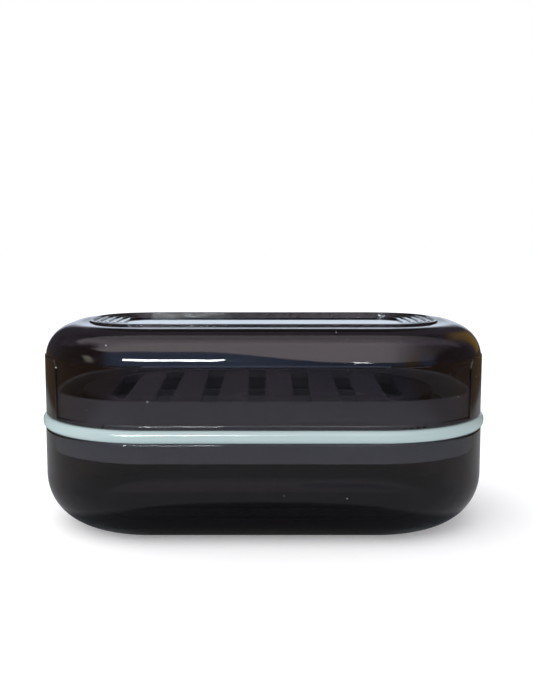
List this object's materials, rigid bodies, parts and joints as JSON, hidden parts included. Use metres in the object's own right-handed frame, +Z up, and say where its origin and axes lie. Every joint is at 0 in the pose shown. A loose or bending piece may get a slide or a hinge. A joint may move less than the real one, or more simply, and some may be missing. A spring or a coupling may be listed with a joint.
{
  "type": "shampoo bar case",
  "caption": "Oblong travel case for a shampoo bar: smoked tray and lid, a pale frame between them and a slotted drain rack inside.",
  "frame": {"origin": "under the middle of the base, on the surface that it stands on", "axes": "+X along the case, +Y from its front to its back, +Z up"},
  "size_m": [0.1112, 0.0676, 0.0505],
  "materials": {
    "smoked_base": "smoked see-through moulding, polished",
    "smoked_lid": "smoked see-through moulding, polished",
    "smoked_rack": "smoked moulding, polished",
    "pale_frame": "opaque pale mint-white moulding, glossy"
  },
  "bodies": {
    "base": {"base_box": "smoked_base", "middle_frame": "pale_frame", "drain_rack": "smoked_rack"},
    "lid": {"lid": "smoked_lid"}
  },
  "joints": [
    {"name": "lid_lift", "type": "slide", "parent": "base", "child": "lid", "axis": [0, 0, 1], "range_m": [0, 0.035]}
  ]
}
